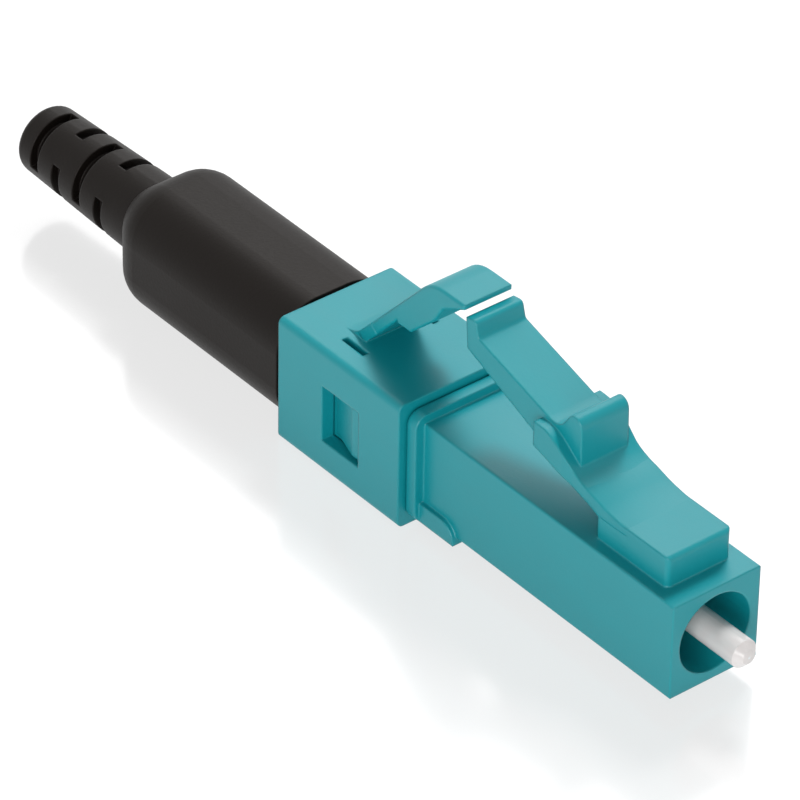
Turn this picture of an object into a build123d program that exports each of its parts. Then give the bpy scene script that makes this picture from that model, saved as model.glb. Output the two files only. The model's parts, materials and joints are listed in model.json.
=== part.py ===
from build123d import *
import os
from math import cos, radians, sin, tan

os.makedirs("parts", exist_ok=True)

# Frame: X runs along the fibre towards the ferrule tip, Z is up on the latch side.
# The origin is the middle of the plug's front face. All sizes are in millimetres.

# Running, sliding and seating clearances
running_gap = 0.05
sliding_gap = 0.06
seat_gap = 0.02
flex_gap = 0.02
fibre_gap = 0.002

# Plug body
plug_side = 4.42
plug_length = 15.05
plug_edge = 0.06
front_bore_radius = 1.8
front_bore_depth = 3.6
collar_stop_length = 0.5
collar_stop_hole_radius = 1.3
hex_pocket_depth = 1.0
cavity_radius = 1.85

# Flange, bottom lug and rear sleeve of the plug
flange_length = 0.55
flange_half_width = 2.66
flange_half_height = 2.62
flange_corner = 0.6
lug_length = 2.13
lug_half_width = 2.42
lug_drop = 0.3
lug_height = 0.88
lug_nose = 0.8
sleeve_half_width = 2.3
sleeve_half_height = 2.35
sleeve_corner = 0.35
sleeve_length = 7.3

# Latch: heights are above the top of the pad
pad_half_width = 1.62
pad_front = 1.1
pad_top = 3.62
pad_edge = 0.22
pad_rise_x = -4.3
latch_pivot_x = -5.2
latch_pivot_drop = 0.03
latch_root_thickness = 0.6
latch_half_width = 1.2
shoulder_half_width = 1.68
shoulder_front_x = -7.4
shoulder_bulge_x = -7.45
shoulder_bulge_height = 1.36
shoulder_rear_x = -9.1
shoulder_step = 0.18
shoulder_bottom_height = 0.8
rib_front_x = -6.78
rib_front_height = 0.86
rib_crest_x = -7.28
rib_crest_height = 2.97
rib_rear_x = -8.8
rib_rear_height = 2.1
rib_lean = 0.04
rib_round_height = 0.45
ramp_start_rise = 0.28
ramp_end_rise = 0.75
slope_end_setback = 0.76
slope_end_height = 3.36
lip_height = 4.0
lip_thickness = 0.56
lip_lean = 0.12
lip_crown = 0.08
lip_round = 0.2
lip_bottom_height = 2.58
lever_mid_x = -9.8
lever_mid_height = 1.0

# Rear clip
clip_gap = 0.1
clip_half_width = 3.0
clip_half_height = 3.0
clip_length = 7.75
clip_edge = 0.3
window_length = 2.35
window_height = 2.72
window_setback = 2.56
window_drop = 0.12
tab_end_gap = 0.1
tab_side_gap = 0.18
tab_flat = 0.5
tab_recess = 0.18
slit_length = 1.4
slit_width = 0.3
slit_depth = 0.4
slit_reach = 0.7
slit_side_gap = 0.4

# Trigger arm: reaches are measured forward from its foot
arm_rise_degrees = 47.6
arm_strap_thickness = 0.53
arm_half_width = 1.25
arm_foot_setback = 5.0
arm_pivot_height = 0.48
arm_heel_height = 1.97
arm_heel_reach = 2.6
arm_heel_end_reach = 3.45
arm_knee_height = 3.3
arm_knee_reach = 4.88
arm_throat_height = 4.2
arm_throat_reach = 5.45
arm_tip_reach = 6.72
arm_tip_thickness = 0.22
arm_crest_radius = 1.8
arm_foot_fillet = 1.2
arm_edge = 0.08
tip_lip_drop = 0.24
tip_lip_gap = 0.12

# Boot
boot_gap = 0.3
bell_half_width = 2.86
bell_half_height = 2.9
bell_corner = 2.05
bell_length = 11.75
bell_shoulder = 1.98
boot_end_gap = 0.47
boot_cone_length = 1.2
tail_length = 7.97
tail_front_radius = 1.82
tail_tip_radius = 1.6
tail_tip_round = 0.35
cable_bore_radius = 1.1
groove_width = 0.55
groove_pitch = 1.55
groove_depth = 0.42
groove_count = 4
first_groove_setback = 1.35
groove_turn_degrees = 40.0
groove_half_angle = 62.0

# Ferrule, fibre and holder
ferrule_radius = 0.625
ferrule_tip_x = 2.0
ferrule_length = 7.4
ferrule_chamfer = 0.32
dome_height = 0.02
ferrule_tail_radius = 0.4
ferrule_step_gap = 0.1
fibre_radius = 0.0625
stub_reach = 2.0
holder_collar_flats = 3.0
holder_collar_length = 2.4
holder_nose_length = 0.4
holder_nose_radius = 1.0
holder_tube_radius = 0.88
holder_bore_radius = 0.3

# Spring and retainer: the reach runs from the rear end of the plug to the front of the retainer
wire_diameter = 0.25
wire_facets = 6
spring_radius = 1.3
spring_turns = 7
retainer_reach = 2.75
retainer_length = 1.9

# Splice
splice_tube_radius = 1.3
splice_tube_length = 7.2
splice_rear_setback = 0.5
splice_joint = 0.8
splice_half_length = 4.3
keel_half_width = 0.35
keel_rise = 0.12
keel_setback = 0.5
lid_lift = 0.003
groove_flat = 0.02
vee_half_angle = 30.0
funnel_flange_radius = 1.3
funnel_flange = 0.4
funnel_mouth_radius = 0.45
funnel_throat_radius = 0.1

# Cam ring
cam_length = 4.9
cam_setback = 0.3
cam_ramp_low_gap = 0.02
cam_ramp_rise = 0.1
cam_tail_length = 4.0
cam_flat_half = 1.5
cam_keel_spread_degrees = 20.0
cam_wall_gap = 0.05

# Crimp tube, rear body and crimp sleeve: the setback runs from the rear end of the boot's bell
# to the rear end of the crimp sleeve
crimp_tube_radius = 0.8
crimp_tube_bore = 0.5
crimp_tube_length = 5.0
rear_flange = 0.5
rear_body_radius = 2.2
rear_body_length = 4.0
yarn_neck_radius = 1.95
yarn_neck_bore = 1.5
yarn_neck_length = 2.7
port_length = 2.2
port_setback = 0.9
port_half_width = 1.3
yarn_ring_count = 4
yarn_ring_pitch = 0.6
yarn_ring_depth = 0.08
crimp_neck_radius = 1.45
crimp_sleeve_setback = 2.0
crimp_cone_length = 1.0

# Stations along X worked out from the sizes above
plug_half = plug_side / 2
stop_rear_x = -(front_bore_depth + collar_stop_length)
flange_front_x = -plug_length
flange_rear_x = flange_front_x - flange_length
sleeve_rear_x = flange_rear_x - sleeve_length
clip_front_x = flange_rear_x - clip_gap
clip_rear_x = clip_front_x - clip_length
window_front_x = clip_front_x - window_setback
window_rear_x = window_front_x - window_length
collar_rear_x = stop_rear_x - holder_collar_length
retainer_front_x = flange_front_x + retainer_reach
spring_length = collar_rear_x - retainer_front_x
splice_rear_x = sleeve_rear_x + splice_rear_setback
splice_front_x = splice_rear_x + splice_tube_length
tube_rear_x = splice_front_x - splice_joint
halves_front_x = tube_rear_x - running_gap
halves_rear_x = halves_front_x - splice_half_length
neck_front_x = sleeve_rear_x - rear_flange - rear_body_length
neck_rear_x = neck_front_x - yarn_neck_length
cone_rear_x = neck_rear_x - crimp_cone_length
boot_front_x = clip_rear_x - boot_gap
bell_rear_x = boot_front_x - bell_length
crimp_rear_x = bell_rear_x + crimp_sleeve_setback
boot_bore_end_x = crimp_rear_x - boot_end_gap
tail_rear_x = bell_rear_x - tail_length

# Places of the latch and the trigger arm worked out from the sizes above
latch_pivot_z = pad_top - latch_pivot_drop
arm_foot_x = clip_front_x - arm_foot_setback
arm_tip_x = arm_foot_x + arm_tip_reach
lip_rear_x = arm_tip_x + tip_lip_gap
lip_top_z = pad_top + lip_height
arm_flat_z = lip_top_z + tip_lip_drop + arm_tip_thickness


def rounded_bar(half_width, half_height, corner):
    """Sketch of a rounded rectangle across the fibre axis."""
    return RectangleRounded(2 * half_width, 2 * half_height, corner)


def ring_profile(inner, outer, start_x, end_x):
    """Closed profile of a plain ring, for turning about the X axis."""
    return Polyline((start_x, inner), (start_x, outer), (end_x, outer), (end_x, inner), close=True)


# Front housing: square plug, latch pad, flange, lug and the sleeve inside the rear clip.
# The section is bored from the front for the ferrule and from the rear for the spring.
with BuildPart() as front_housing:
    with BuildSketch(Plane.YZ):
        Rectangle(plug_side, plug_side)
    extrude(amount=-plug_length)
    fillet(front_housing.edges().filter_by(Axis.X), radius=plug_edge)
    with BuildSketch(Plane.YZ.offset(flange_front_x)):
        rounded_bar(flange_half_width, flange_half_height, flange_corner)
    extrude(amount=-flange_length)
    with BuildSketch(Plane.YZ.offset(flange_rear_x)):
        rounded_bar(sleeve_half_width, sleeve_half_height, sleeve_corner)
    extrude(amount=-sleeve_length)
    # Bottom lug: its front top edge is a quarter ellipse seen from the side
    with BuildSketch(Plane.XZ):
        with BuildLine():
            lug_front = flange_front_x + lug_length
            lug_top = -plug_half - lug_drop + lug_height
            Polyline((lug_front, -plug_half - lug_drop), (flange_front_x, -plug_half - lug_drop),
                     (flange_front_x, lug_top), (lug_front - lug_nose, lug_top))
            EllipticalCenterArc((lug_front - lug_nose, -plug_half - lug_drop), lug_nose, lug_height,
                                start_angle=0, arc_size=90)
        make_face()
    extrude(amount=lug_half_width, both=True)
    # Latch root pad with a round seat for the end of the lever
    with BuildSketch(Plane.XZ):
        with BuildLine():
            Polyline((-pad_front, 0), (-pad_front, pad_top), (pad_rise_x, pad_top),
                     (latch_pivot_x, latch_pivot_z + latch_root_thickness / 2), (latch_pivot_x, 0),
                     close=True)
        make_face()
        with Locations((latch_pivot_x, latch_pivot_z)):
            Circle(latch_root_thickness / 2 + flex_gap, mode=Mode.SUBTRACT)
    extrude(amount=pad_half_width, both=True)
    pad_edges = front_housing.edges().filter_by(Axis.Y).filter_by_position(Axis.Z, pad_top, pad_top)
    corner_edges = front_housing.edges().filter_by(Axis.Z).filter_by_position(Axis.X, -pad_front, -pad_front)
    fillet(pad_edges.sort_by(Axis.X)[-1:] + corner_edges, radius=pad_edge)
    # Snap tabs: a ramp from the rear up to a flat with a steep front end
    with BuildSketch(Plane.XY.offset(-window_drop)):
        with BuildLine():
            tab_front_x = window_front_x - tab_end_gap
            tab_rear_x = window_rear_x + tab_end_gap
            tab_out = clip_half_width - tab_recess
            Polyline((tab_front_x, 0), (tab_front_x, tab_out), (tab_front_x - tab_flat, tab_out),
                     (tab_rear_x, sleeve_half_width), (tab_rear_x, 0), close=True)
        make_face()
        mirror(about=Plane.XZ)
    extrude(amount=window_height / 2 - tab_side_gap, both=True)
    # Bores
    with BuildSketch(Plane.YZ):
        Circle(front_bore_radius)
    extrude(amount=-front_bore_depth, mode=Mode.SUBTRACT)
    with BuildSketch(Plane.YZ):
        Circle(collar_stop_hole_radius)
    extrude(amount=stop_rear_x, mode=Mode.SUBTRACT)
    with BuildSketch(Plane.YZ.offset(stop_rear_x)):
        RegularPolygon(holder_collar_flats / 2 + running_gap, 6, major_radius=False)
    extrude(amount=-hex_pocket_depth, mode=Mode.SUBTRACT)
    with BuildSketch(Plane.YZ.offset(stop_rear_x - hex_pocket_depth)):
        Circle(cavity_radius)
    extrude(amount=sleeve_rear_x - stop_rear_x + hex_pocket_depth, mode=Mode.SUBTRACT)

# Latch lever: a thin flexing root, a ramp, the cross rib, the thumb slope and the rear lip.
# Its root end is round and turns in the seat of the pad.
with BuildPart() as latch_lever:
    half_root = latch_root_thickness / 2
    root_top = (latch_pivot_x, latch_pivot_z + half_root)
    root_bottom = (latch_pivot_x, latch_pivot_z - half_root)
    root_tip = (latch_pivot_x + half_root, latch_pivot_z)
    rib_front = (rib_front_x, pad_top + rib_front_height)
    rib_crest = (rib_crest_x, pad_top + rib_crest_height)
    rib_rear = (rib_rear_x, pad_top + rib_rear_height)
    slope_end = (lip_rear_x + slope_end_setback, pad_top + slope_end_height)
    ramp_turns = [(-1, ramp_start_rise), (-1, ramp_end_rise)]
    crest_turns = [(-rib_lean, 1.0), (slope_end[0] - rib_rear[0], slope_end[1] - rib_rear[1])]
    with BuildSketch(Plane.XZ):
        with BuildLine():
            Spline(root_top, rib_front, tangents=ramp_turns)
            rib_face = Line(rib_front, (rib_front_x - rib_lean, rib_crest[1] - rib_round_height))
            Spline(rib_face @ 1, rib_crest, rib_rear, tangents=crest_turns)
            Polyline(rib_rear, slope_end, (lip_rear_x + lip_thickness, lip_top_z + lip_crown),
                     (lip_rear_x, lip_top_z), (lip_rear_x + lip_lean, pad_top + lip_bottom_height),
                     (lever_mid_x, pad_top + lever_mid_height), root_bottom)
            ThreePointArc(root_bottom, root_tip, root_top)
        make_face()
    extrude(amount=latch_half_width, both=True)
    lip_edges = latch_lever.edges().filter_by(Axis.Y).sort_by(Axis.Z)
    lip_edges = lip_edges.filter_by_position(Axis.X, lip_rear_x + running_gap, slope_end[0])
    fillet(lip_edges.filter_by_position(Axis.Z, slope_end[1], 2 * lip_top_z), radius=lip_round)

    # Wider ramp and latching shoulders, which stop below the thumb slope
    with BuildSketch(Plane.XZ):
        with BuildLine():
            Spline(root_top, rib_front, tangents=ramp_turns)
            shoulder_top_z = rib_rear[1] - shoulder_step
            shoulder_bulge = (shoulder_bulge_x, pad_top + shoulder_bulge_height)
            Spline(rib_front, shoulder_bulge, (rib_rear_x, shoulder_top_z),
                   tangents=[(-1, ramp_end_rise), (-1, 0)])
            Polyline((rib_rear_x, shoulder_top_z), (shoulder_rear_x, shoulder_top_z),
                     (shoulder_rear_x, pad_top + shoulder_bottom_height), root_bottom)
            ThreePointArc(root_bottom, root_tip, root_top)
        make_face()
    extrude(amount=shoulder_half_width, both=True)
    with BuildSketch(Plane.XY):
        with BuildLine():
            Polyline((0, pad_half_width), (rib_front_x, pad_half_width),
                     (shoulder_front_x, shoulder_half_width), (shoulder_front_x, plug_side),
                     (0, plug_side), close=True)
        make_face()
        mirror(about=Plane.XZ)
    extrude(amount=2 * lip_top_z, mode=Mode.SUBTRACT)

# Direction of the trigger arm as it rises, and the middle of its flexing root
arm_turn = radians(arm_rise_degrees)
arm_along = Vector(cos(arm_turn), sin(arm_turn))
arm_up = Vector(-sin(arm_turn), cos(arm_turn))
arm_foot = Vector(arm_foot_x, clip_half_height)
arm_half = arm_strap_thickness / 2
arm_pivot_run = (arm_pivot_height + arm_half * cos(arm_turn)) / sin(arm_turn)
arm_pivot = arm_foot - arm_up * arm_half + arm_along * arm_pivot_run

# Rear clip: square collar with side windows, and the foot that carries the trigger arm
with BuildPart() as rear_clip:
    with BuildSketch(Plane.YZ.offset(clip_front_x)):
        Rectangle(2 * clip_half_width, 2 * clip_half_height)
    extrude(amount=-clip_length)
    fillet(rear_clip.edges().filter_by(Axis.X), radius=clip_edge)
    with BuildSketch(Plane.XZ):
        with BuildLine():
            foot_under = arm_pivot - arm_up * arm_half
            foot_front_x = foot_under.X - (foot_under.Y - clip_half_height) / tan(arm_turn)
            Polyline((arm_foot.X, sleeve_half_height + slit_depth), (arm_foot.X, arm_foot.Y),
                     arm_pivot + arm_up * arm_half, foot_under, (foot_front_x, clip_half_height),
                     (foot_front_x, sleeve_half_height + slit_depth), close=True)
        make_face()
    extrude(amount=arm_half_width, both=True)
    foot_edges = rear_clip.edges().filter_by(Axis.Y)
    foot_edges = foot_edges.filter_by_position(Axis.Z, clip_half_height, clip_half_height)
    fillet(foot_edges.filter_by_position(Axis.X, arm_foot_x - seat_gap, arm_foot_x + seat_gap),
           radius=arm_foot_fillet)
    with BuildSketch(Plane.XZ):
        with Locations(arm_pivot):
            Circle(arm_half + flex_gap)
    extrude(amount=arm_half_width, both=True, mode=Mode.SUBTRACT)
    # Slits beside the foot let it flex
    with BuildSketch(Plane.XY.offset(clip_half_height)):
        slit_x = arm_foot_x + slit_reach
        slit_y = arm_half_width + slit_side_gap + slit_width / 2
        with Locations((slit_x, slit_y), (slit_x, -slit_y)):
            Rectangle(slit_length, slit_width)
    extrude(amount=-slit_depth, mode=Mode.SUBTRACT)
    with BuildSketch(Plane.YZ.offset(clip_front_x)):
        rounded_bar(sleeve_half_width + sliding_gap, sleeve_half_height + sliding_gap, sleeve_corner)
    extrude(amount=-clip_length, mode=Mode.SUBTRACT)
    with BuildSketch(Plane.XZ):
        with Locations(((window_front_x + window_rear_x) / 2, -window_drop)):
            Rectangle(window_length, window_height)
    extrude(amount=clip_half_width, both=True, mode=Mode.SUBTRACT)

# Trigger arm: a thin strap, then a head with a heel below it that thins to the tip over the latch
with BuildPart() as trigger_arm:
    strap_top = arm_pivot + arm_up * arm_half
    strap_under = arm_pivot - arm_up * arm_half
    crest = strap_top + arm_along * ((arm_flat_z - strap_top.Y) / sin(arm_turn))
    heel_x = arm_foot_x + arm_heel_reach
    heel_top = strap_under + arm_along * ((heel_x - strap_under.X) / cos(arm_turn))
    arm_underside = [(arm_throat_reach, arm_throat_height), (arm_knee_reach, arm_knee_height),
                     (arm_heel_end_reach, arm_heel_height), (arm_heel_reach, arm_heel_height)]
    underside_points = [(arm_foot_x + reach, clip_half_height + height) for reach, height in arm_underside]
    with BuildSketch(Plane.XZ):
        with BuildLine():
            Polyline(strap_top, crest, (arm_tip_x, arm_flat_z), (arm_tip_x, arm_flat_z - arm_tip_thickness),
                     *underside_points, heel_top, strap_under)
            ThreePointArc(strap_under, arm_pivot - arm_along * arm_half, strap_top)
        make_face()
    extrude(amount=arm_half_width, both=True)
    crest_edges = trigger_arm.edges().filter_by(Axis.Y).filter_by_position(Axis.Z, arm_flat_z, arm_flat_z)
    fillet(crest_edges.sort_by(Axis.X)[0], radius=arm_crest_radius)
    side_faces = trigger_arm.faces().filter_by(Axis.Y)
    chamfer(side_faces.edges(), length=arm_edge)

# Boot: square bell with a round shoulder and a tapered tail with alternating slots
boot_bore_radius = rear_body_radius + sliding_gap
with BuildPart() as boot:
    with BuildSketch(Plane.YZ.offset(boot_front_x)):
        rounded_bar(bell_half_width, bell_half_height, bell_corner)
    extrude(amount=-bell_length)
    fillet(boot.faces().sort_by(Axis.X)[0].edges(), radius=bell_shoulder)
    tail_slope = (tail_front_radius - tail_tip_radius) / tail_length
    with BuildSketch(Plane.XZ):
        with BuildLine():
            overlap_x = bell_rear_x + bell_shoulder
            Polyline((tail_rear_x, 0), (tail_rear_x, tail_tip_radius - tail_tip_round))
            RadiusArc((tail_rear_x, tail_tip_radius - tail_tip_round),
                      (tail_rear_x + tail_tip_round, tail_tip_radius), tail_tip_round)
            Polyline((tail_rear_x + tail_tip_round, tail_tip_radius), (bell_rear_x, tail_front_radius),
                     (overlap_x, tail_front_radius), (overlap_x, 0), (tail_rear_x, 0))
        make_face()
    revolve(axis=Axis.X)
    for groove in range(groove_count):
        groove_x = tail_rear_x + first_groove_setback + groove * groove_pitch
        groove_outer = tail_front_radius + groove_depth
        groove_floor = tail_tip_radius + tail_slope * (groove_x - tail_rear_x) - groove_depth
        for side in (0, 180):
            middle = radians(groove_turn_degrees + 90 * (groove + 1) + side)
            start = middle - radians(groove_half_angle)
            across = Plane(origin=(0, 0, 0), x_dir=(1, 0, 0), z_dir=(0, -sin(start), cos(start)))
            with BuildSketch(across):
                with BuildLine():
                    ring_profile(groove_floor, groove_outer, groove_x - groove_width / 2,
                                 groove_x + groove_width / 2)
                make_face()
            revolve(axis=Axis.X, revolution_arc=2 * groove_half_angle, mode=Mode.SUBTRACT)
    with BuildSketch(Plane.XZ):
        with BuildLine():
            Polyline((boot_front_x, 0), (boot_front_x, boot_bore_radius),
                     (boot_bore_end_x, boot_bore_radius),
                     (boot_bore_end_x - boot_cone_length, cable_bore_radius),
                     (tail_rear_x, cable_bore_radius), (tail_rear_x, 0), close=True)
        make_face()
    revolve(axis=Axis.X, mode=Mode.SUBTRACT)

# Ferrule with a chamfered, slightly domed tip and a bore for the fibre
ferrule_rear_x = ferrule_tip_x - ferrule_length
with BuildPart() as ferrule:
    with BuildSketch(Plane.XZ):
        with BuildLine():
            hole = fibre_radius + fibre_gap
            tip_flat = ferrule_radius - ferrule_chamfer
            step_x = stop_rear_x + holder_nose_length + ferrule_step_gap
            Polyline((ferrule_rear_x, hole), (ferrule_rear_x, ferrule_tail_radius),
                     (step_x, ferrule_tail_radius), (step_x, ferrule_radius),
                     (ferrule_tip_x - ferrule_chamfer, ferrule_radius),
                     (ferrule_tip_x - dome_height, tip_flat), (ferrule_tip_x, hole), close=True)
        make_face()
    revolve(axis=Axis.X)

# Glass stub from the ferrule's tip into the splice
with BuildPart() as fibre_stub:
    with BuildSketch(Plane.YZ.offset(ferrule_tip_x)):
        Circle(fibre_radius)
    extrude(amount=halves_front_x - stub_reach - ferrule_tip_x)

# Ferrule holder: a nose through the collar stop, a hexagonal collar and a long tube
with BuildPart() as ferrule_holder:
    with BuildSketch(Plane.YZ.offset(stop_rear_x + holder_nose_length)):
        Circle(holder_nose_radius)
    extrude(amount=-holder_nose_length)
    with BuildSketch(Plane.YZ.offset(stop_rear_x)):
        RegularPolygon(holder_collar_flats / 2, 6, major_radius=False)
    extrude(amount=-holder_collar_length)
    with BuildSketch(Plane.YZ.offset(collar_rear_x)):
        Circle(holder_tube_radius)
    extrude(amount=tube_rear_x - collar_rear_x)
    with BuildSketch(Plane.YZ.offset(stop_rear_x + holder_nose_length)):
        Circle(ferrule_tail_radius)
    extrude(amount=ferrule_rear_x - stop_rear_x - holder_nose_length, mode=Mode.SUBTRACT)
    with BuildSketch(Plane.YZ.offset(ferrule_rear_x)):
        Circle(holder_bore_radius)
    extrude(amount=tube_rear_x - ferrule_rear_x, mode=Mode.SUBTRACT)

# Coil spring between the collar and the retainer
with BuildPart() as coil_spring:
    with BuildLine():
        coil_height = spring_length - wire_diameter - 2 * seat_gap
        coil_start_x = retainer_front_x + wire_diameter / 2 + seat_gap
        coil = Helix(pitch=coil_height / spring_turns, height=coil_height, radius=spring_radius,
                     center=(coil_start_x, 0, 0), direction=(1, 0, 0))
    with BuildSketch(Plane(origin=coil @ 0, z_dir=coil % 0)):
        RegularPolygon(wire_diameter / 2, wire_facets)
    sweep()

# Spring retainer: a bush pressed into the cavity, through which the holder's tube slides
with BuildPart() as spring_retainer:
    with BuildSketch(Plane.YZ.offset(retainer_front_x)):
        Circle(cavity_radius)
        Circle(holder_tube_radius + running_gap, mode=Mode.SUBTRACT)
    extrude(amount=-retainer_length)

# Splice housing: a tube on the end of the holder, with a slot on top for the keel of the lid
with BuildPart() as splice_housing:
    with BuildSketch(Plane.YZ.offset(splice_front_x)):
        Circle(splice_tube_radius)
        Circle(holder_tube_radius, mode=Mode.SUBTRACT)
    extrude(amount=-splice_tube_length)
    with BuildSketch(Plane.XY):
        with Locations(((halves_front_x + halves_rear_x) / 2, 0)):
            Rectangle(splice_half_length - 2 * keel_setback + 2 * running_gap,
                      2 * (keel_half_width + running_gap))
    extrude(amount=2 * splice_tube_radius, mode=Mode.SUBTRACT)

# Splice base: lower half round with the groove that holds the fibres
half_round = holder_tube_radius - seat_gap
with BuildPart() as splice_base:
    with BuildSketch(Plane.YZ.offset(halves_front_x)):
        Circle(half_round)
        with Locations((0, half_round - groove_flat)):
            Rectangle(2 * half_round, 2 * half_round, mode=Mode.SUBTRACT)
        with BuildLine():
            vee_bottom = -(fibre_radius + fibre_gap) / sin(radians(vee_half_angle))
            vee_half = -vee_bottom * tan(radians(vee_half_angle))
            Polyline((0, vee_bottom), (vee_half, 0), (-vee_half, 0), close=True)
        make_face(mode=Mode.SUBTRACT)
    extrude(amount=-splice_half_length)

# Splice lid: upper half round with a keel that the cam ring presses down
keel_height = splice_tube_radius + keel_rise
with BuildPart() as splice_lid:
    with BuildSketch(Plane.YZ.offset(halves_front_x)):
        Circle(half_round)
        with Locations((0, fibre_radius + lid_lift - half_round)):
            Rectangle(2 * half_round, 2 * half_round, mode=Mode.SUBTRACT)
    extrude(amount=-splice_half_length)
    with BuildSketch(Plane.YZ.offset(halves_front_x - keel_setback)):
        Circle(keel_height)
        with Locations((0, keel_height)):
            Rectangle(2 * keel_half_width, 2 * (keel_height - fibre_radius - lid_lift), mode=Mode.INTERSECT)
    extrude(amount=2 * keel_setback - splice_half_length)

# Lead-in funnel: guides the field fibre into the splice
with BuildPart() as lead_in_funnel:
    with BuildSketch(Plane.XZ):
        with BuildLine():
            funnel_front_x = halves_rear_x - running_gap
            funnel_rear_x = splice_rear_x - funnel_flange
            Polyline((funnel_front_x, funnel_throat_radius), (funnel_front_x, half_round),
                     (splice_rear_x, half_round), (splice_rear_x, funnel_flange_radius),
                     (funnel_rear_x, funnel_flange_radius), (funnel_rear_x, funnel_mouth_radius), close=True)
        make_face()
    revolve(axis=Axis.X)

# Cam ring: its eccentric pocket presses the keel, and flats on its tail take the tool
cam_front_x = halves_front_x - cam_setback
cam_radius = cavity_radius - running_gap
cam_bore = splice_tube_radius + cam_wall_gap
with BuildPart() as cam_ring:
    with BuildSketch(Plane.YZ.offset(cam_front_x)):
        Circle(cam_radius)
    extrude(amount=-cam_length)
    with BuildSketch(Plane.YZ.offset(cam_front_x - cam_length)):
        Circle(cam_radius)
        Rectangle(2 * cam_radius, 2 * cam_flat_half, mode=Mode.INTERSECT)
    extrude(amount=-cam_tail_length)
    with BuildSketch(Plane.YZ.offset(cam_front_x)):
        Circle(cam_bore)
    extrude(amount=-cam_length - cam_tail_length, mode=Mode.SUBTRACT)
    with BuildSketch(Plane.YZ.offset(cam_front_x)):
        pocket_shift = cam_ramp_rise / 2
        with Locations((-pocket_shift, -pocket_shift)):
            Circle(keel_height + cam_ramp_low_gap + pocket_shift)
        with BuildLine():
            keel_spread = radians(cam_keel_spread_degrees)
            spread_y = 2 * cam_radius * sin(keel_spread)
            spread_z = 2 * cam_radius * cos(keel_spread)
            Polyline((0, 0), (spread_y, spread_z), (-2 * cam_radius, 2 * cam_radius),
                     (-spread_z, -spread_y), close=True)
        make_face(mode=Mode.INTERSECT)
    extrude(amount=-cam_length, mode=Mode.SUBTRACT)

# Buffer crimp tube behind the funnel
with BuildPart() as buffer_crimp_tube:
    with BuildSketch(Plane.YZ.offset(funnel_rear_x)):
        Circle(crimp_tube_radius)
        Circle(crimp_tube_bore, mode=Mode.SUBTRACT)
    extrude(amount=-crimp_tube_length)

# Rear body: flange behind the sleeve, a barrel with tool ports and a ringed neck for the yarn
port_middle_x = sleeve_rear_x - rear_flange - port_setback - port_length / 2
with BuildPart() as rear_body:
    with BuildSketch(Plane.YZ.offset(sleeve_rear_x)):
        rounded_bar(sleeve_half_width, sleeve_half_height, sleeve_corner)
    extrude(amount=-rear_flange)
    with BuildSketch(Plane.YZ.offset(sleeve_rear_x - rear_flange)):
        Circle(rear_body_radius)
    extrude(amount=-rear_body_length)
    with BuildSketch(Plane.YZ.offset(neck_front_x)):
        Circle(yarn_neck_radius)
    extrude(amount=-yarn_neck_length)
    for ring in range(yarn_ring_count):
        ring_x = neck_front_x - yarn_ring_pitch * (ring + 0.5)
        with BuildSketch(Plane.XZ):
            with BuildLine():
                ring_profile(yarn_neck_radius - yarn_ring_depth, rear_body_radius, ring_x,
                             ring_x - yarn_ring_pitch / 2)
            make_face()
        revolve(axis=Axis.X, mode=Mode.SUBTRACT)
    with BuildSketch(Plane.YZ.offset(sleeve_rear_x)):
        Circle(cavity_radius)
    extrude(amount=-rear_flange - rear_body_length, mode=Mode.SUBTRACT)
    with BuildSketch(Plane.YZ.offset(neck_front_x)):
        Circle(yarn_neck_bore)
    extrude(amount=-yarn_neck_length, mode=Mode.SUBTRACT)
    with BuildSketch(Plane.XZ):
        with Locations((port_middle_x, 0)):
            Rectangle(port_length, 2 * port_half_width)
    extrude(amount=2 * rear_body_radius, both=True, mode=Mode.SUBTRACT)

# Crimp sleeve over the yarn neck, necked down to the jacket of the cable
with BuildPart() as crimp_sleeve:
    with BuildSketch(Plane.XZ):
        with BuildLine():
            wall = rear_body_radius - yarn_neck_radius - seat_gap
            sleeve_front_x = neck_front_x - seat_gap
            Polyline((sleeve_front_x, rear_body_radius - wall), (sleeve_front_x, rear_body_radius),
                     (neck_rear_x, rear_body_radius), (cone_rear_x, crimp_neck_radius),
                     (crimp_rear_x, crimp_neck_radius), (crimp_rear_x, crimp_neck_radius - wall),
                     (cone_rear_x, crimp_neck_radius - wall), (neck_rear_x, rear_body_radius - wall),
                     close=True)
        make_face()
    revolve(axis=Axis.X)

pieces = {
    "front_housing": front_housing, "latch_lever": latch_lever, "rear_clip": rear_clip,
    "trigger_arm": trigger_arm, "boot": boot, "ferrule": ferrule, "fibre_stub": fibre_stub,
    "ferrule_holder": ferrule_holder, "coil_spring": coil_spring, "spring_retainer": spring_retainer,
    "splice_housing": splice_housing, "splice_base": splice_base, "splice_lid": splice_lid,
    "lead_in_funnel": lead_in_funnel, "cam_ring": cam_ring, "buffer_crimp_tube": buffer_crimp_tube,
    "rear_body": rear_body, "crimp_sleeve": crimp_sleeve,
}
for name, piece in pieces.items():
    piece.part.label = name
    export_step(piece.part, f"parts/{name}.step")
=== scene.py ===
import bmesh
import bpy
import json
import math
from mathutils import Matrix, Vector


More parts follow.
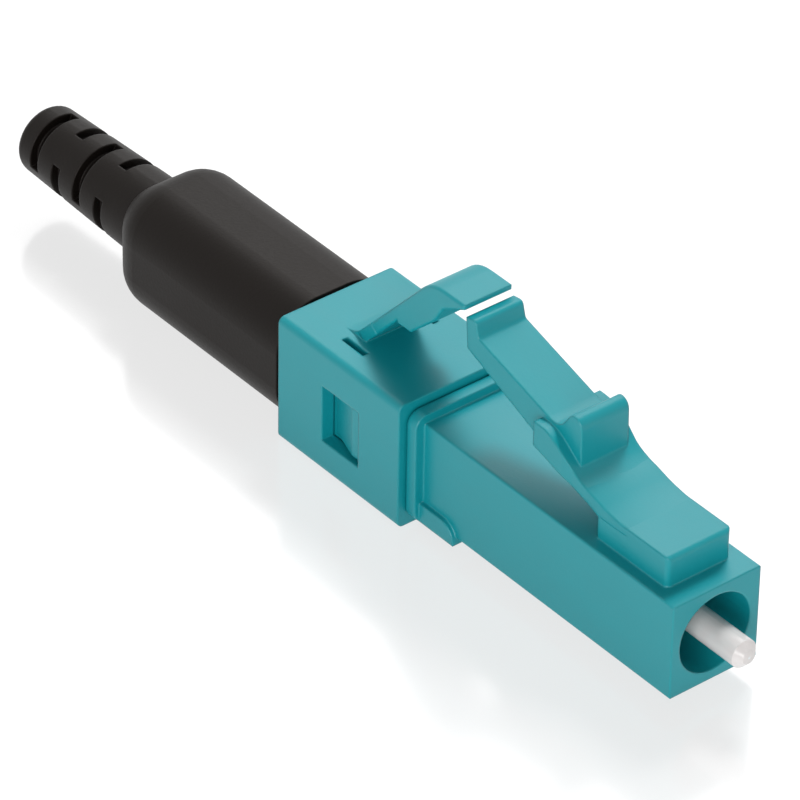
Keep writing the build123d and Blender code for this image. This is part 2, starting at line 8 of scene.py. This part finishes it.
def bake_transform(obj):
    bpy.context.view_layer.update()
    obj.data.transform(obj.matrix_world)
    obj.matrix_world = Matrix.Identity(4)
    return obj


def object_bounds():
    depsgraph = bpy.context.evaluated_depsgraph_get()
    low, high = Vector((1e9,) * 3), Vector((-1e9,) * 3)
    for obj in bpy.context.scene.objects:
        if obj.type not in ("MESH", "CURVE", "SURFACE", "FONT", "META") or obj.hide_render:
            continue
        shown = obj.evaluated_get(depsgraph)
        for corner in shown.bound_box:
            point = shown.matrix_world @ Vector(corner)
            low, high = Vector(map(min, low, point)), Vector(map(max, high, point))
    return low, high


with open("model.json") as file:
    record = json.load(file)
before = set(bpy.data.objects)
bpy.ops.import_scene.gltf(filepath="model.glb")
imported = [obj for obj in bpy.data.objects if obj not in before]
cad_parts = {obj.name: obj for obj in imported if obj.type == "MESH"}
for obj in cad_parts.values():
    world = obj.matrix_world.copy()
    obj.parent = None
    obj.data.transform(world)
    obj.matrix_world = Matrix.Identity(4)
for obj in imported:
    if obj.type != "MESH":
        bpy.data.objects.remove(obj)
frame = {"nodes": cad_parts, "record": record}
nodes = frame["nodes"]
cad_low, cad_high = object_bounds()
bpy.context.scene.view_settings.view_transform = "Standard"
MM = 0.001


# Front housing and latch lever: one injection moulding of aqua polyester, with the lever
# springing out of the pad on top. Satin from the spark-eroded mould, glossier on worn edges.
class Value:
    """A socket of a material that is being built; sums on it add Math nodes."""

    def __init__(self, finish, socket):
        self.finish, self.socket = finish, socket

    def sum(self, operation, *terms):
        links = {i: term for i, term in enumerate(terms)}
        return self.finish.node("ShaderNodeMath", {"operation": operation}, links)

    def __add__(self, other):
        return self.sum("ADD", self, other)

    def __mul__(self, other):
        return self.sum("MULTIPLY", self, other)

    def __sub__(self, other):
        return self.sum("SUBTRACT", self, other)

    def __rsub__(self, other):
        return self.sum("SUBTRACT", other, self)

    __radd__, __rmul__ = __add__, __mul__

    def held(self, low=0.0, high=1.0):
        """This value kept between two limits."""
        return self.sum("MINIMUM", self.sum("MAXIMUM", self, low), high)


class Finish:
    """The nodes of a new material or of the world, built one by one."""

    def __init__(self, owner):
        self.owner = owner
        owner.use_nodes = True
        self.tree = owner.node_tree
        self.tree.nodes.clear()

    def node(self, kind, settings, links, out=0):
        """Adds a node: its settings first, then the value or the link of each socket."""
        made = self.tree.nodes.new(kind)
        for name, value in settings.items():
            setattr(made, name, value)
        for name, value in links.items():
            if isinstance(value, Value):
                self.tree.links.new(value.socket, made.inputs[name])
            else:
                made.inputs[name].default_value = value
        return Value(self, made.outputs[out]) if made.outputs else None

    def noise(self, per_mm, detail, stretch=(1, 1, 1)):
        """Cloudy noise from 0 to 1, with its scale in features for each millimetre."""
        place = self.node("ShaderNodeTexCoord", {}, {}, "Object")
        at = self.node("ShaderNodeVectorMath", {"operation": "MULTIPLY"}, {0: place, 1: stretch})
        return self.node("ShaderNodeTexNoise", {}, {"Vector": at, "Scale": per_mm / MM, "Detail": detail})

    def blend(self, share, one, other):
        """Two colours, given as red, green and blue, mixed by a share."""
        opaque = [colour if isinstance(colour, Value) else (*colour, 1) for colour in (one, other)]
        return self.node("ShaderNodeMix", {"data_type": "RGBA"}, {0: share, 6: opaque[0], 7: opaque[1]}, 2)

    def rounded(self, size):
        """The normal with sharp edges broken by a radius of size millimetres, as a mould leaves them."""
        return self.node("ShaderNodeBevel", {"samples": 8}, {"Radius": size * MM})

    def relief(self, height, depth, normal=None):
        """A bumped normal: depth is the relief in millimetres where height goes from 0 to 1."""
        links = {"Height": height, "Distance": depth * MM, "Strength": 1.0}
        if normal:
            links["Normal"] = normal
        return self.node("ShaderNodeBump", {}, links)

    def worn(self, normal, sharpness=5.0):
        """1 on the edges that hands rub, 0 on the flats: how far a rounded normal leans from the flat one."""
        flat = self.node("ShaderNodeNewGeometry", {}, {}, "Normal")
        along = self.node("ShaderNodeVectorMath", {"operation": "DOT_PRODUCT"}, {0: normal, 1: flat}, "Value")
        return ((1 - along) * sharpness).held()

    def shade(self, colour, roughness, normal=None, **fixed):
        """Ends a material with its shader; fixed values go straight on the shader's sockets."""
        links = {"Base Color": colour, "Roughness": roughness}
        if normal:
            links["Normal"] = normal
        links.update({name.replace("_", " "): value for name, value in fixed.items()})
        return self.end(self.node("ShaderNodeBsdfPrincipled", {}, links))

    def end(self, shader, kind="ShaderNodeOutputMaterial"):
        """Joins the last shader to the output and returns the material or the world."""
        self.node(kind, {}, {"Surface": shader})
        return self.owner


def dress(names, material):
    """Gives solids their material."""
    for name in names:
        nodes[name].data.materials.clear()
        nodes[name].data.materials.append(material)


aqua = Finish(bpy.data.materials.new("aqua_moulding"))
grain = aqua.noise(9.0, 4.0)
cloud = aqua.noise(0.35, 2.0)
flow = aqua.noise(0.9, 3.0, (0.25, 1, 1))
aqua_edge = aqua.rounded(0.14)
aqua_rub = aqua.worn(aqua_edge)
aqua_body = aqua.blend(cloud * 0.5 + flow * 0.5, (0.0015, 0.275, 0.318), (0.003, 0.31, 0.355))
aqua_colour = aqua.blend(aqua_rub * 0.25, aqua_body, (0.03, 0.42, 0.46))
aqua_gloss = grain * 0.08 + flow * 0.06 - aqua_rub * 0.08 + 0.34
aqua_mould = aqua.shade(aqua_colour, aqua_gloss, aqua.relief(grain, 0.003, aqua_edge), Specular_IOR_Level=0.5)
dress(("front_housing", "latch_lever"), aqua_mould)


# Root of the latch lever: the thin web of the same moulding that flexes where the lever leaves
# its pad. It is lofted over the seam of the joint.
def flexing_web(name, stations, corner):
    """Lofts a web of the moulding through stations, each a middle, the direction through the web's
    thickness, its half thickness and its half width, all in metres."""
    web = bmesh.new()
    rings = []
    for middle, through, half_thick, half_wide in stations:
        ring = []
        for quarter in range(4):
            lean = math.radians(90 * quarter + 45)
            wide = math.copysign(half_wide - corner, math.cos(lean))
            thick = math.copysign(half_thick - corner, math.sin(lean))
            for step in range(4):
                turn = math.radians(90 * quarter + 30 * step)
                across = Vector((0, wide + corner * math.cos(turn), 0))
                ring.append(web.verts.new(middle + across + through * (thick + corner * math.sin(turn))))
        rings.append(ring)
    for one, other in zip(rings, rings[1:]):
        for i in range(len(one)):
            web.faces.new((one[i - 1], one[i], other[i], other[i - 1]))
    web.faces.new(rings[0][::-1])
    web.faces.new(rings[-1])
    bmesh.ops.recalc_face_normals(web, faces=web.faces)
    mesh = bpy.data.meshes.new(name)
    web.to_mesh(mesh)
    web.free()
    mesh.shade_smooth()
    mesh.materials.append(aqua_mould)
    piece = bpy.data.objects.new(name, mesh)
    bpy.context.scene.collection.objects.link(piece)
    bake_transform(piece)


def eased(length, over):
    """Rises smoothly from 0 to 1 while length goes from 0 to over."""
    share = min(1.0, max(0.0, length / over))
    return share * share * (3 - 2 * share)


joints = frame["record"]["behaviour"]["joints"]
pivots = {joint["name"]: Vector(joint["pos_m"]) for joint in joints if joint.get("pos_m")}
latch_pivot = pivots["latch_flex"]
pad_top, root_bottom = latch_pivot.z + 0.03 * MM, latch_pivot.z - 0.3 * MM
ramp_start = latch_pivot.x + 0.9 * MM
ramp_slope, ramp_bend, lever_slope, lever_belly_slope = 0.3, 0.8 * MM, 0.277, 0.289
root_tuck, root_tuck_slope = 0.04 * MM, 0.15
web_half_wide, web_corner, web_proud, web_sink = 1.62 * MM, 0.02 * MM, 0.016 * MM, 0.002 * MM
web_front, web_front_ease = latch_pivot.x + 1.9 * MM, 1.0 * MM
web_rear, web_rear_ease = latch_pivot.x - 0.9 * MM, 0.6 * MM
web_steps = 28
latch_stations = []
for step in range(web_steps + 1):
    x = web_front + (web_rear - web_front) * step / web_steps
    bent = max(0.0, ramp_start + ramp_bend - x)
    rise = ramp_slope * (bent * bent / (4 * ramp_bend) if bent < 2 * ramp_bend else bent - ramp_bend)
    behind = max(0.0, latch_pivot.x - x)
    proud = web_proud * eased(web_front - x, web_front_ease) * eased(x - web_rear, web_rear_ease) - web_sink
    top_z = pad_top + rise + proud - (ramp_slope - lever_slope) * behind
    tucked = max(0.0, root_tuck - root_tuck_slope * behind)
    bottom_z = root_bottom - proud - tucked + lever_belly_slope * behind
    middle = Vector((x, 0, (top_z + bottom_z) / 2))
    latch_stations.append((middle, Vector((0, 0, 1)), (top_z - bottom_z) / 2, web_half_wide + proud))
flexing_web("latch_root_web", latch_stations, web_corner)


# Rear clip and trigger arm: a second moulding of the same aqua polyester, snapped over the
# sleeve of the housing, with the arm springing from its top over the end of the lever.
dress(("rear_clip", "trigger_arm"), aqua_mould)


# Root of the trigger arm: the same kind of web of that moulding, lofted over the seam where
# the arm leaves its foot on the clip.
arm_pivot = pivots["trigger_flex"]
arm_rise = math.radians(47.6)
arm_along = Vector((math.cos(arm_rise), 0, math.sin(arm_rise)))
arm_through = Vector((-math.sin(arm_rise), 0, math.cos(arm_rise)))
arm_half_thick, arm_half_wide, arm_corner = 0.265 * MM, 1.25 * MM, 0.07 * MM
arm_step, arm_proud = 0.1 * MM, 0.006 * MM
arm_stations = []
for step in range(-6, 7):
    proud = arm_proud * min(1, 2 - abs(step) / 3)
    middle = arm_pivot + arm_along * arm_step * step
    arm_stations.append((middle, arm_through, arm_half_thick + proud, arm_half_wide + proud))
flexing_web("arm_root_web", arm_stations, arm_corner)


# Ferrule: ground zirconia, white with a faint warmth, bored for the glass stub and pressed
# into its holder. The grinding leaves faint streaks along its length.
zirconia = Finish(bpy.data.materials.new("ferrule_zirconia"))
lap = zirconia.noise(5.0, 3.0, (0.15, 1, 1))
zirconia_colour = zirconia.blend(lap, (0.70, 0.665, 0.655), (0.78, 0.75, 0.74))
dress(["ferrule"], zirconia.shade(zirconia_colour, lap * 0.08 + 0.16, zirconia.relief(lap, 0.001),
                                  Specular_IOR_Level=0.7))


# Glass stub: a short length of bare fibre, glued into the ferrule at the factory and
# polished flush with its tip.
glass = Finish(bpy.data.materials.new("stub_glass"))
haze = glass.noise(12.0, 2.0)
dress(["fibre_stub"], glass.shade(glass.blend(haze, (0.75, 0.78, 0.8), (0.85, 0.87, 0.88)), haze * 0.05 + 0.08))


# Ferrule holder, spring retainer and crimp sleeve: turned brass with a nickel plate, so each
# shows fine rings from the lathe tool.
nickel = Finish(bpy.data.materials.new("nickel_plate"))
turned = nickel.noise(14.0, 2.0, (1, 0.02, 0.02))
tarnish = nickel.noise(0.8, 3.0)
nickel_colour = nickel.blend(tarnish, (0.62, 0.58, 0.50), (0.72, 0.69, 0.62))
nickel_plate = nickel.shade(nickel_colour, turned * 0.12 + 0.24, nickel.relief(turned, 0.003), Metallic=1.0)
dress(("ferrule_holder", "spring_retainer", "crimp_sleeve"), nickel_plate)


# Coil spring: hard drawn stainless wire, wound in seven turns, held between the collar of the
# holder and the retainer.
wire = Finish(bpy.data.materials.new("spring_wire"))
drawn = wire.noise(10.0, 2.0)
dress(["coil_spring"], wire.shade(wire.blend(drawn, (0.5, 0.5, 0.5), (0.62, 0.62, 0.61)), drawn * 0.1 + 0.25,
                                  Metallic=1.0))


# Splice housing, base and lid: clear polyetherimide mouldings with a faint amber tint. The
# housing is pressed onto the holder, and the base and the lid lie in it on the fibres.
clear = Finish(bpy.data.materials.new("splice_moulding"))
swirl = clear.noise(1.2, 3.0)
clear_colour = clear.blend(swirl, (0.72, 0.66, 0.50), (0.80, 0.75, 0.60))
clear_mould = clear.shade(clear_colour, swirl * 0.08 + 0.12, clear.relief(swirl, 0.002))
dress(("splice_housing", "splice_base", "splice_lid"), clear_mould)


# Cam ring, lead-in funnel and rear body: mouldings of off-white nylon, slightly waxy. The ring
# turns on the splice housing, and the other two are pressed in behind it.
nylon = Finish(bpy.data.materials.new("white_nylon"))
wax = nylon.noise(0.8, 3.0)
pores = nylon.noise(8.0, 3.0)
nylon_colour = nylon.blend(wax, (0.72, 0.71, 0.67), (0.80, 0.79, 0.76))
nylon_mould = nylon.shade(nylon_colour, pores * 0.1 + 0.38, nylon.relief(pores, 0.004))
dress(("cam_ring", "lead_in_funnel", "rear_body"), nylon_mould)


# Buffer crimp tube: a short cut of drawn aluminium tube behind the funnel, which is crimped
# on the buffer of the fibre.
tube = Finish(bpy.data.materials.new("drawn_aluminium"))
draw = tube.noise(9.0, 2.0, (0.05, 1, 1))
dress(["buffer_crimp_tube"], tube.shade(tube.blend(draw, (0.68, 0.68, 0.69), (0.78, 0.78, 0.79)),
                                        draw * 0.1 + 0.28, tube.relief(draw, 0.003), Metallic=1.0))


# Boot: black thermoplastic rubber, moulded in one with its slotted tail and pushed on over the
# rear body. Soft and satin, with a faint bloom.
rubber = Finish(bpy.data.materials.new("boot_rubber"))
skin = rubber.noise(7.0, 4.0)
bloom = rubber.noise(0.3, 3.0)
rubber_edge = rubber.rounded(0.12)
rubber_colour = rubber.blend(bloom, (0.0035, 0.0024, 0.0018), (0.0055, 0.0042, 0.0034))
dress(["boot"], rubber.shade(rubber_colour, skin * 0.1 + bloom * 0.06 + 0.36,
                             rubber.relief(skin, 0.005, rubber_edge),
                             Specular_IOR_Level=0.175, Specular_Tint=(1, 0.93, 0.89, 1)))


# Studio: a pale table with a soft gloss under the connector, a white surround and three square
# lamps. The surround lights the table and the connector only faintly, and looks white.
def seen(finish):
    """1 for the rays of the camera and of clear or glossy surfaces, 0 for those that light matt ones."""
    looked = finish.node("ShaderNodeLightPath", {}, {}, "Is Camera Ray")
    for ray in ("Is Glossy Ray", "Is Transmission Ray"):
        looked = looked.sum("MAXIMUM", looked, finish.node("ShaderNodeLightPath", {}, {}, ray))
    return looked


white = (1, 1, 1, 1)
table_colour, table_glow, table_gloss, table_roughness = (0.93, 0.93, 0.93, 1), 0.8, 0.08, 0.17
table = Finish(bpy.data.materials.new("table_white"))
matt = table.node("ShaderNodeBsdfDiffuse", {}, {"Color": table_colour})
glow = table.node("ShaderNodeEmission", {}, {"Color": white, "Strength": 1.0})
paper = table.node("ShaderNodeMixShader", {}, {0: seen(table) * table_glow, 1: matt, 2: glow})
mirror = table.node("ShaderNodeBsdfGlossy", {}, {"Color": white, "Roughness": table_roughness})
reach, floor_z = 1.2, cad_low[2] - 0.01 * MM
floor_mesh = bpy.data.meshes.new("table_top")
corners = [(-reach, -reach, floor_z), (reach, -reach, floor_z), (reach, reach, floor_z), (-reach, reach, floor_z)]
floor_mesh.from_pydata(corners, [], [(0, 1, 2, 3)])
floor_mesh.materials.append(table.end(table.node("ShaderNodeMixShader", {}, {0: table_gloss, 1: paper, 2: mirror})))
floor = bpy.data.objects.new("table_top", floor_mesh)
bpy.context.scene.collection.objects.link(floor)

surround_light = 0.2
surround = Finish(bpy.data.worlds.new("white_surround"))
strength = seen(surround) * (1 - surround_light) + surround_light
background = surround.node("ShaderNodeBackground", {}, {"Color": white, "Strength": strength})
bpy.context.scene.world = surround.end(background, "ShaderNodeOutputWorld")


def direction(azimuth, elevation):
    """From the connector towards a lamp or the camera, by its turn from the -Y side and its height."""
    return Vector((math.sin(azimuth) * math.cos(elevation), -math.cos(azimuth) * math.cos(elevation),
                   math.sin(elevation)))


connector_middle = Vector((-18, 0, 0)) * MM


def lamp(name, azimuth, elevation, distance, size, watts):
    """A square soft lamp aimed at the middle of the connector."""
    away = direction(math.radians(azimuth), math.radians(elevation))
    light = bpy.data.lights.new(name, "AREA")
    light.energy, light.size = watts, size
    holder = bpy.data.objects.new(name, light)
    holder.location = connector_middle + away * distance
    holder.rotation_euler = away.to_track_quat("Z", "Y").to_euler()
    bpy.context.scene.collection.objects.link(holder)
    return holder


lamp("key", 210.5, 55.4, 0.35, 0.08, 0.72).visible_glossy = False
lamp("softbox", 215, 46, 0.5, 0.35, 0.85)
lamp("fill", 40, 10, 0.5, 0.4, 2.2)


# Camera: a long lens from above, in front of the plug and to its left. The focal length and the
# point that it looks at beside the connector are in pixels of a square picture 800 wide.
azimuth, elevation, roll = (math.radians(degrees) for degrees in (49.6267, 36.5040, 1.5619))
focal, aside, below, picture_width, sensor_width = 6275.80, 83.604, 60.993, 800, 36
back = direction(azimuth, elevation)
flat = Vector((math.cos(azimuth), math.sin(azimuth), 0))
rise = back.cross(flat)
right = flat * math.cos(roll) + rise * math.sin(roll)
up = rise * math.cos(roll) - flat * math.sin(roll)
eye = Vector((-14, 0, 0)) * MM + back * 250 * MM
aim = ((right * -aside + up * below) / focal - back).normalized()
side = aim.cross(up).normalized()
turn = Matrix((side, side.cross(aim), -aim)).transposed()
camera_data = bpy.data.cameras.new("camera")
camera_data.lens, camera_data.sensor_width = focal * sensor_width / picture_width, sensor_width
camera_data.clip_start, camera_data.clip_end = 0.005, 5
camera = bpy.data.objects.new("camera", camera_data)
camera.matrix_world = Matrix.Translation(eye) @ turn.to_4x4()
bpy.context.scene.collection.objects.link(camera)
bpy.context.scene.camera = camera
